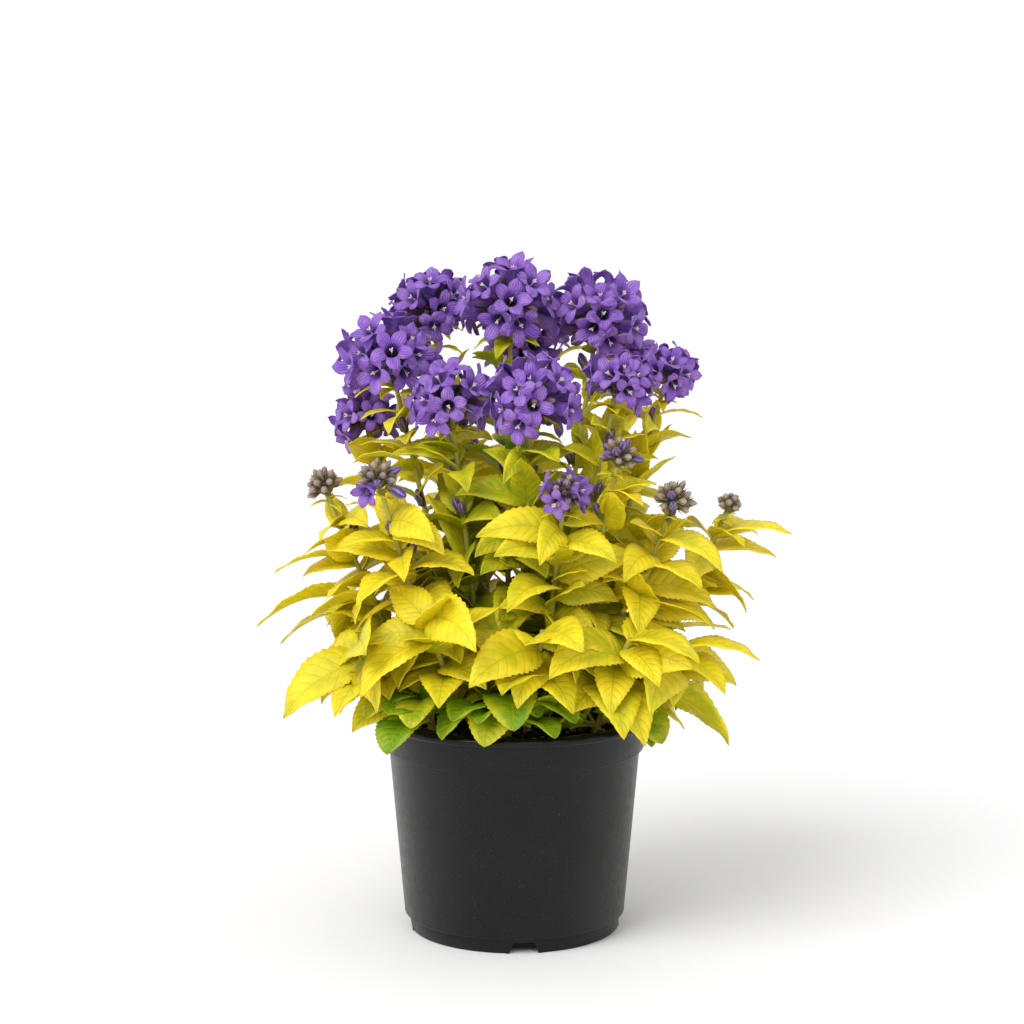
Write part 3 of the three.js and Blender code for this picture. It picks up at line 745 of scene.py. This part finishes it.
def channelCutters():
    # the roofs and the hollows of the drainage channels through the foot ring
    p = pot
    wall = p["wall"]
    roofs, hollows = [], []
    for i in range(p["channels"]):
        turn = -pi / 2 + radians(p["channelTurn"]) + i * 2 * pi / p["channels"]
        roof = prism(p["channelBottom"] + 2 * wall, p["channelTop"] + 2 * wall, p["channelHeight"] + wall,
                     p["channelInner"] - wall, p["baseRadius"] - 0.5, turn, "channelRoof")
        roof.data.transform(Matrix.Translation((0, 0, 0.0012)))
        roofs.append((roof, "UNION"))
        hollows.append((prism(p["channelBottom"], p["channelTop"], p["channelHeight"], p["channelInner"],
                              p["baseRadius"] + 6, turn, "channelHollow"), "DIFFERENCE"))
    return roofs + hollows


def buildPot():
    bm = bmesh.new()
    spun(bm, potProfile(), 144)
    shell = newObject("potShell", bm)
    cutters = channelCutters()
    for cutter, operation in cutters:
        boolean = shell.modifiers.new("channel", "BOOLEAN")
        boolean.object = cutter
        boolean.operation = operation
        boolean.solver = "EXACT"
    cut = withModifiers(shell)
    for cutter, operation in cutters:
        bpy.data.objects.remove(cutter)
    bm = newBmesh()
    bm.from_mesh(cut)
    for face in bm.faces:
        face.smooth = True
        face.material_index = 0
    for edge in bm.edges:
        if len(edge.link_faces) == 2 and edge.calc_face_angle() > radians(50):
            edge.smooth = False
    finished("potMoulding", bm, [], [potPlastic], ["pot"])


buildPot()
print("pot built")

# Potting soil
soil = {"relief": 1.6, "crumbs": 900, "bark": 300, "reach": 65, "batch": 100, "gap": 0.6, "rings": 38,
        "ringStep": 1.7}


def buildSoil():
    low = pot["floor"] + plant["gap"]
    profile = [(0, low), (pot["baseRadius"] - 3, low)]
    profile += [(insideRadius(z) - soil["gap"], z) for z in (pot["footRing"] + 1, pot["collarBottom"])]
    profile += [(lowest["soilRadius"], soilLevel - 2.2)]
    profile += [(lowest["soilRadius"] - 0.5 - soil["ringStep"] * i, soilLevel) for i in range(soil["rings"])]
    profile += [(0, soilLevel)]
    bm = newBmesh()
    spun(bm, profile, 120)
    layer = bm.verts.layers.float["tint"]
    for vert in bm.verts:
        if vert.co.z > (soilLevel - 1) * 0.001:
            rough = noise.fractal(vert.co * 90, 0.9, 2.1, 4)
            vert.co.z += soil["relief"] * 0.001 * (rough - 0.3)
            vert[layer] = 0.3 + 0.4 * rough
    for face in bm.faces:
        face.smooth = True
    finished("peatSurface", bm, crumbs(), [peat, barkBits], ["soil"])


def crumbs():
    # peat crumbs and pale bark chips, in small batches
    draw = seeded(77)
    batches = []
    count = soil["crumbs"] + soil["bark"]
    for i in range(count):
        if i % soil["batch"] == 0:
            bm = newBmesh()
        isBark = i >= soil["crumbs"]
        out = soil["reach"] * sqrt(draw())
        turn = 2 * pi * draw()
        size = 0.5 + 1.3 * draw() * draw()
        stretch = Matrix.Diagonal((size, size * (0.4 + 0.5 * draw()), size * (0.35 + 0.4 * draw()), 1))
        if isBark:
            stretch = Matrix.Diagonal((size * 2.2, size * 1.2, size * 0.7, 1))
        place = Matrix.Translation(mm((out * cos(turn), out * sin(turn), soilLevel + 0.2 + 0.7 * draw())))
        tilt = Matrix.Rotation(6.3 * draw(), 4, "Z") @ Matrix.Rotation(0.8 * draw() - 0.4, 4, "X")
        matrix = place @ tilt @ stretch
        made = bmesh.ops.create_icosphere(bm, subdivisions=1, radius=0.001, matrix=matrix)["verts"]
        setVerts(bm, made, draw() if isBark else 0.5 * draw() * draw(), 1 if isBark else 0)
        if (i + 1) % soil["batch"] == 0 or i + 1 == count:
            batch = bpy.data.meshes.new("crumbs")
            bm.to_mesh(batch)
            bm.free()
            batches.append(batch)
    return batches


buildSoil()
print("soil built")

# Leaves and stems
leafLook = {"columns": 4, "rows": 28, "tooth": 0.06, "wave": 0.014, "hump": 0.08, "thickness": 0.32,
            "baseHalf": 0.9, "tipHalf": 0.05}


def addLeaf(bm, leaf, draw, tint):
    phase = 2 * pi * draw()
    waves = 2 + 2 * draw()
    tipTurn = 0.48 * (draw() - 0.5)

    def place(across, along):
        side = -across
        row = round(along * leafLook["rows"])
        tooth = 1 + leafLook["tooth"] * (0.8 if row % 2 else -0.9) * (1 - along) ** 0.2
        if row == 0:
            half = leafLook["baseHalf"]
        elif row == leafLook["rows"]:
            half = leafLook["tipHalf"]
        else:
            half = leaf["width"] / 2 * leafOutline(leaf["outline"], along) * (tooth if abs(side) > 0.9 else 1)
        lift = leafLook["wave"] * leaf["length"] * sin(waves * 2 * pi * along + phase) * side * side * along
        lift += leafLook["hump"] * half * (1 - (2 * abs(side) - 1) ** 2)
        return leafPoint(dict(leaf, roll=leaf["roll"] + tipTurn * along), along, side, half,
                         lift + leafLook["thickness"] / 2)
    grid(bm, leafLook["columns"], leafLook["rows"], tint, place)


def addTube(bm, line, first, last, sides, rows, tint, material, swell=0.0):
    # a tapering tube round a curve, its ends drawn shut and its leaf joints swollen
    def place(across, along):
        t = clamp((along * rows - 1) / (rows - 2))
        ahead = bezier(line, min(1, t + 0.01))
        behind = bezier(line, max(0, t - 0.01))
        forward = Vector(ahead) - Vector(behind)
        heading = forward.normalized()
        u = (forward.orthogonal() if abs(heading.x) > 0.9 else forward.cross(Vector((1, 0, 0)))).normalized()
        v = heading.cross(u)
        radius = first + (last - first) * t + swell * max(0, cos(12 * pi * t)) ** 8
        if along < 0.5 / rows or along > 1 - 0.5 / rows:
            radius = 0.01
        turn = pi * across
        return Vector(bezier(line, t)) + u * radius * cos(turn) + v * radius * sin(turn)
    made = grid(bm, sides, rows, tint, place, material)
    bmesh.ops.remove_doubles(bm, verts=made, dist=1e-6)


# the tint's weights: own age at random, painted shade inside the plant, and age with painted shade low down
ageingAndShade = {"least": 0.02, "spread": 0.22, "inner": 0.72, "low": 0.12, "lowSpread": 0.34}


def leafTint(leaf, draw, green):
    # 0 is young and yellow, 1 old and green; leaves low down are older, and they and the leaves inside the
    # plant are also tinted old green as painted shade
    if green:
        return 0.35 + 0.75 * draw()
    x, y, z = leaf["base"]
    inner = clamp(1.15 - hypot(x, y - 8) / 60)
    low = clamp((185 - z) / 60)
    own = ageingAndShade["least"] + ageingAndShade["spread"] * draw() * draw()
    return own + ageingAndShade["inner"] * inner + ageingAndShade["low"] * low + ageingAndShade["lowSpread"] * low * draw() * draw()


def leafBody(leaves, draw, green):
    bm = newBmesh()
    for leaf in leaves:
        addLeaf(bm, leaf, draw, leafTint(leaf, draw, green))
    return thickened(bm, leafLook["thickness"])


def bractsOf(stem, line, draw):
    # small leaves that spread below a head or a bud cluster
    if not isFlowering(stem):
        return []
    radius, count = (stem["head"], 6) if "head" in stem else (stem["buds"], 4)
    found = []
    for k in range(count):
        length = radius * (0.75 + 0.35 * draw())
        found.append(dict(base=bezier(line, 0.985 - 0.01 * k), azimuth=k * 2 * pi / count + 0.7 * draw(),
                          pitch=radians(5 + 35 * draw()), bend=radians(40 + 30 * draw()),
                          roll=radians(30 * (draw() - 0.5)), fold=radians(15), length=length,
                          width=length * 0.42, cordate=0, outline=pointed))
    return found


axilLook = {"groups": 2, "length": 9.0, "width": 2.3, "stalk": 5}
onStem = {"stalk": 2, "bud": 3, "sepal": 4}  # places in stemMaterials
stemMaterials = [goldUpper, goldLower, stemGreen, budStriped, sepalGreen]


def addAxilBuds(bm, line, draw):
    # twos and threes of buds on short stalks, up a flowering stem
    for k in range(axilLook["groups"]):
        foot = bezier(line, 0.5 + 0.42 * (k + draw()) / axilLook["groups"])
        side = 2 * pi * draw()
        for i in range(1 + int(2.5 * draw())):
            spread = side + 0.9 * (i - 0.5)
            axis = unit((0.5 * cos(spread), 0.5 * sin(spread), 1))
            length = axilLook["length"] * (0.75 + 0.4 * draw())
            reach = axilLook["stalk"]
            addTube(bm, (foot, plus(foot, axis, 2), plus(foot, axis, reach)), 0.6, 0.8, 6, 4, 0.6,
                    onStem["stalk"])
            addBud(bm, foot, axis, reach - 0.5, length, axilLook["width"], 0.15 * draw(), onStem["bud"])
            addSepals(bm, foot, axis, reach - 0.8, length * 0.65, draw(), onStem["sepal"], 0.2)


def buildStem(index):
    stem, line = stems[index], lines[index][0]
    draw = seeded(5001 + 7 * index)
    leaves = leavesOfStem[index] + fillingOfStem[index] + bractsOf(stem, line, draw)
    body = leafBody(leaves, draw, False)
    bm = newBmesh()
    stalk = onStem["stalk"]
    addTube(bm, line, plant["stemRadius"], plant["stemTipRadius"], 10, 22, 0.6 * draw(), stalk, 0.25)
    x, y, z = line[0]
    peg = ((x, y, z - plant["pegDepth"] - 1), (x, y, z - 6), (x, y, z + 0.5))
    addTube(bm, peg, plant["stemRadius"], plant["stemRadius"], 10, 4, 0.5, stalk)
    if isFlowering(stem):
        addAxilBuds(bm, line, draw)
    finished("leafyStem%02d" % (index + 1), bm, [body], stemMaterials,
             ["leafy_stem_%02d" % (index + 1)])


def buildTuft(index):
    draw = seeded(6001 + 7 * index)
    leaves = leavesOfTuft[index] + youngOfTuft[index]
    body = leafBody(leaves, draw, True)
    bm = newBmesh()
    radius, stalk = plant["petioleRadius"], onStem["stalk"]
    for leaf in leaves:
        addTube(bm, stalkLine(leaf), radius, radius * 0.8, 8, 10, 0.5, stalk)
    x, y = tufts[index]["foot"]
    crown = ((x, y, soilLevel - plant["pegDepth"]), (x, y, soilLevel - 4), (x, y, soilLevel + 3))
    addTube(bm, crown, plant["crownRadius"], 2.2, 10, 8, 0.9, stalk, 0.4)
    finished("basalLeaves%d" % (index + 1), bm, [body], stemMaterials[:3],
             ["basal_leaves_%d" % (index + 1)])


# Bells, buds and heads; the bell's sizes are those in a head of fullRadius
bell = {
    "sides": 6, "rows": 10, "tube": 0.4, "footRadius": 2.2, "throat": 3.6, "lobe": 8.6, "lobeWidth": 3.9,
    "ruffle": 0.55, "thickness": 0.3, "fullRadius": 23.5, "flare": 4.2, "foot": 0.26, "curlBack": 0.16,
}
sepal = {"count": 5, "radius": 1.2, "tip": 0.1, "flat": (0.45, 1.35, 1.0, 1.0)}
onHead = {"stigma": 2, "calyx": 3, "bud": 4, "sepal": 5}  # places in headMaterials
headMaterials = [petalInner, petalOuter, stigmaCream, calyxDark, budStriped, sepalGreen]


def spreadOver(count, widest, axis, phase):
    # directions spread evenly round the axis, out to the widest angle from it in degrees
    turn = Vector((0, 0, 1)).rotation_difference(Vector(axis))
    found = []
    for k in range(count):
        up = 1 - (k + 0.5) / count * (1 - cos(radians(widest)))
        out = sqrt(1 - up * up)
        angle = phase + k * plant["goldenAngle"]
        found.append(turn @ Vector((out * cos(angle), out * sin(angle), up)))
    return found


def jitter(draw):
    return draw() - 0.5, draw() - 0.5, draw() - 0.5


def addBell(bm, centre, axis, radius, draw):
    # five lobes, each a sheet from the foot of the bell to its own tip, welded along the tube
    size = sqrt(radius / bell["fullRadius"])
    turn0 = 2 * pi * draw()
    frameOf = facing(axis, centre)
    tint = draw()
    made = []
    foot = radius * bell["foot"]
    mouth = radius - bell["flare"] * size  # height of the throat's rim
    opening = radians(20 + 22 * draw())  # of the lobes from the bell's axis
    spreading = radians(48 + 50 * draw())
    for lobe in range(5):
        long = bell["lobe"] * size * (0.9 + 0.2 * draw())
        curl = spreading + radians(40 * (draw() - 0.5))
        twist = 0.3 * (draw() - 0.5)
        ruffle = bell["ruffle"] * size * (0.4 + draw())
        crease = 6.3 * draw()
        middle = turn0 + lobe * 2 * pi / 5

        def place(across, along):
            share = -across
            throat = bell["throat"] * size
            if along <= bell["tube"]:
                t = along / bell["tube"]
                out = bell["footRadius"] * size + (throat - bell["footRadius"] * size) * t ** 0.7
                high = foot + (mouth - foot) * t
                angle = middle + share * pi / 5
                spot = (out * cos(angle), out * sin(angle), high)
            else:
                t = (along - bell["tube"]) / (1 - bell["tube"])
                lean = opening + curl * t
                out = throat + long * (cos(opening) - cos(lean)) / curl
                high = mouth + long * (sin(lean) - sin(opening)) / curl
                half = (throat * pi / 5 + bell["lobeWidth"] * size * t) * (1 - t ** 2.4) ** 0.85
                back = bell["curlBack"] * half * share * share * min(1, 3 * t)
                back += ruffle * t * sin(crease + 5 * t + 3.4 * share)
                out -= back * cos(lean) + bell["curlBack"] * throat * share * share * (1 - t)
                high -= back * sin(lean)
                wide = share * half
                turned = middle + twist * t * t
                spot = (out * cos(turned) - wide * sin(turned),
                        out * sin(turned) + wide * cos(turned), high)
            return (frameOf @ mm(spot)) * 1000
        made += grid(bm, bell["sides"], bell["rows"], tint, place)
    bmesh.ops.remove_doubles(bm, verts=made, dist=2e-6)


def raised(x, z):
    return Matrix.Translation(mm((x, 0, z)))


def addCone(bm, matrix, sides, near, far, length, tint, material):
    made = bmesh.ops.create_cone(bm, cap_ends=True, segments=sides, radius1=near * 0.001, radius2=far * 0.001,
                                 depth=length * 0.001, matrix=matrix)["verts"]
    setVerts(bm, made, tint, material)


def addStyle(bm, centre, axis, radius, draw):
    # a thin shaft with three splayed stigmas
    frameOf = facing(axis, centre)
    near, length = radius * 0.3, radius * 0.54
    addCone(bm, frameOf @ raised(0, near + length / 2), 6, 0.4, 0.35, length, 0.6, onHead["stigma"])
    for k in range(3):
        splay = Matrix.Rotation(k * 2.1 + draw(), 4, "Z") @ Matrix.Rotation(0.5, 4, "X")
        tip = raised(0, near + length) @ splay @ raised(0, 0.9)
        addCone(bm, frameOf @ tip, 5, 0.75, 0.3, 2.6, 0.0, onHead["stigma"])


def addSepals(bm, centre, axis, near, length, tint, material, splay):
    frameOf = facing(axis, centre)
    for k in range(sepal["count"]):
        turn = Matrix.Rotation(k * 2 * pi / sepal["count"], 4, "Z")
        lean = Matrix.Rotation(splay, 4, "Y")
        at = raised(sepal["radius"], near) @ lean @ raised(0, length / 2) @ Matrix.Diagonal(sepal["flat"])
        addCone(bm, frameOf @ turn @ at, 4, sepal["radius"], sepal["tip"], length, tint, material)


def addBud(bm, centre, axis, near, length, width, tint, material):
    frameOf = facing(axis, centre)
    made = bmesh.ops.create_uvsphere(bm, u_segments=10, v_segments=7, radius=1, calc_uvs=True)["verts"]
    for vert in made:
        up = (vert.co.z + 1) / 2
        ribs = 1 + 0.1 * cos(5 * atan2(vert.co.y, vert.co.x))
        taper = (0.55 + 0.75 * up) * (1 if up < 0.6 else 1 - 0.55 * ((up - 0.6) / 0.4) ** 1.5)
        wide = width * taper * ribs
        vert.co = frameOf @ mm((vert.co.x * wide, vert.co.y * wide, near + length * up))
    setVerts(bm, made, tint, material)


def addCore(bm, centre, radius, material):
    made = bmesh.ops.create_icosphere(bm, subdivisions=2, radius=radius * 0.001,
                                      matrix=Matrix.Translation(mm(centre)))["verts"]
    for vert in made:
        vert.co += (vert.co - mm(centre)) * 0.25 * noise.noise(vert.co * 400)
    setVerts(bm, made, 0.6, material)


headLook = {"bellsPerRadius": 0.8, "widest": 118, "stray": 0.4,
            "budsPerRadius": 1.2, "budsWidest": 130, "budStray": 0.5, "budFoot": 0.3, "darkShare": 0.55}


def buildHead(index):
    stem = stems[index]
    radius, centre, lean = stem["head"], stem["top"], lines[index][1]
    calyx = onHead["calyx"]
    draw = seeded(7001 + 11 * index)
    bm = newBmesh()
    bells = []
    bellCount = round(radius * headLook["bellsPerRadius"])
    for axis in spreadOver(bellCount, headLook["widest"], lean, 2 * pi * draw()):
        strayed = unit(plus(axis, jitter(draw), headLook["stray"]))
        if draw() > stem.get("open", 1):
            continue
        bells.append((plus(centre, jitter(draw), 0.2 * radius), strayed, radius * (0.92 + 0.18 * draw())))
    for foot, axis, length in bells:
        addBell(bm, foot, axis, length, draw)
    body = thickened(bm, bell["thickness"])
    bm = newBmesh()
    for foot, axis, length in bells:
        addStyle(bm, foot, axis, length, draw)
        addSepals(bm, foot, axis, length * bell["foot"], length * 0.34, draw(), calyx, 0.35)
    budCount = round(radius * headLook["budsPerRadius"] * (1.5 if "open" in stem else 1))
    near = radius * headLook["budFoot"]
    for axis in spreadOver(budCount, headLook["budsWidest"], lean, 2 * pi * draw()):
        strayed = unit(plus(axis, jitter(draw), headLook["budStray"]))
        dark = draw() < headLook["darkShare"] * stem.get("open", 1)
        reach = radius * (0.3 + 0.24 * draw())
        material = calyx if dark else onHead["bud"]
        addBud(bm, centre, strayed, near, reach, 1.5 if dark else 2.0, draw(), material)
        addSepals(bm, centre, strayed, near, reach * (0.95 if dark else 0.7), draw(), calyx, 0.28)
    addCore(bm, centre, coreRadius(radius), calyx)
    finished("flowerHead%02d" % (index + 1), bm, [body], headMaterials[:5],
             ["flower_head_%02d" % (index + 1)])


clusterLook = {"budsPerRadius": 1.5, "widest": 105, "ripeShare": 0.3, "bellAxis": (-0.45, -0.8, -0.4),
               "bellRadius": 15, "ripestAxis": (0.75, -0.6, -0.35), "ripestLength": 12, "ripestWidth": 3.2}


def buildBuds(index):
    stem = stems[index]
    radius, centre, lean = stem["buds"], stem["top"], lines[index][1]
    draw = seeded(8001 + 11 * index)
    bud, green = onHead["bud"], onHead["sepal"]
    bm = newBmesh()
    if "firstBell" in stem:
        addBell(bm, centre, unit(clusterLook["bellAxis"]), clusterLook["bellRadius"], draw)
    body = thickened(bm, bell["thickness"])
    bm = newBmesh()
    if "firstBell" in stem:
        ripest = unit(clusterLook["ripestAxis"])
        addBud(bm, centre, ripest, 8, clusterLook["ripestLength"], clusterLook["ripestWidth"], 0.05, bud)
        addSepals(bm, centre, ripest, 7, clusterLook["ripestLength"] / 2, draw(), green, 0.25)
    budCount = round(radius * clusterLook["budsPerRadius"])
    for axis in spreadOver(budCount, clusterLook["widest"], lean, 2 * pi * draw()):
        pale = draw() > clusterLook["ripeShare"]
        length = radius * (0.48 + 0.22 * draw() if pale else 0.62 + 0.2 * draw())
        tint = 0.75 + 0.25 * draw() if pale else 0.1
        addBud(bm, centre, axis, radius * 0.28, length, 1.9 if pale else 2.3, tint, bud)
        addSepals(bm, centre, axis, radius * 0.22, length * (0.9 if pale else 0.7), draw(), green, 0.3)
    addCore(bm, centre, coreRadius(radius), green)
    finished("budCluster%02d" % (index + 1), bm, [body], headMaterials,
             ["bud_cluster_%02d" % (index + 1)])


for index in range(len(stems)):
    buildStem(index)
for index in range(len(tufts)):
    buildTuft(index)
print("stems and leaves built")

for index, stem in enumerate(stems):
    if "head" in stem:
        buildHead(index)
    if "buds" in stem:
        buildBuds(index)
print("heads and buds built")

# Studio
studio = {"floorSize": 900, "world": (1.05, 0.75), "horizon": 0.22, "sun": 1.9, "sunWidth": 42,
          "sunFrom": (-0.62, -0.68, 0.9), "fill": 5, "fillSize": 1.6, "fillAt": (0.5, -2.0, 1.1),
          "cameraAt": (-0.0013, -1.6, 0.48), "cameraTilt": 80.8, "sensor": 36, "zoom": 3121 / 1024}


def addLamp(name, light, at, direction):
    lamp = placed(name, light)
    lamp.location = at
    lamp.rotation_euler = direction.to_track_quat("-Z", "Y").to_euler()


def buildStudio():
    bm = bmesh.new()
    bmesh.ops.create_grid(bm, x_segments=1, y_segments=1, size=studio["floorSize"])
    floor = newObject("studioFloor", bm)
    material, w, inputs, place = newMaterial("floorPale", **{"Roughness": 0.7, "Specular IOR Level": 0.2})
    w.put(inputs["Base Color"], w.mix(w.noise(place, 3.0), (0.93, 0.93, 0.93, 1), (0.94, 0.94, 0.94, 1)))
    floor.data.materials.append(material)
    world = bpy.data.worlds.new("studioAir")
    bpy.context.scene.world = world
    world.use_nodes = True
    w = Wiring(world.node_tree)
    up = w.split(w.add("ShaderNodeTexCoord")["Generated"])[2]
    background = world.node_tree.nodes["Background"]
    background.inputs[0].default_value = (1, 1, 1, 1)
    w.put(background.inputs[1], w.ramp(up, 0.0, studio["horizon"], studio["world"]))
    light = bpy.data.lights.new("softKey", "SUN")
    light.energy = studio["sun"]
    light.angle = radians(studio["sunWidth"])
    addLamp("softKey", light, (0, 0, 0), -Vector(studio["sunFrom"]))
    light = bpy.data.lights.new("softFill", "AREA")
    light.energy = studio["fill"]
    light.size = studio["fillSize"]
    addLamp("softFill", light, studio["fillAt"], Vector((0, 0, 0.2)) - Vector(studio["fillAt"]))
    lens = bpy.data.cameras.new("studioCamera")
    lens.sensor_width = studio["sensor"]
    lens.lens = studio["zoom"] * studio["sensor"]
    camera = placed("studioCamera", lens)
    camera.location = studio["cameraAt"]
    camera.rotation_euler = (radians(studio["cameraTilt"]), 0, 0)
    bpy.context.scene.camera = camera
    bpy.context.scene.view_settings.view_transform = "Standard"


buildStudio()
print("studio built")
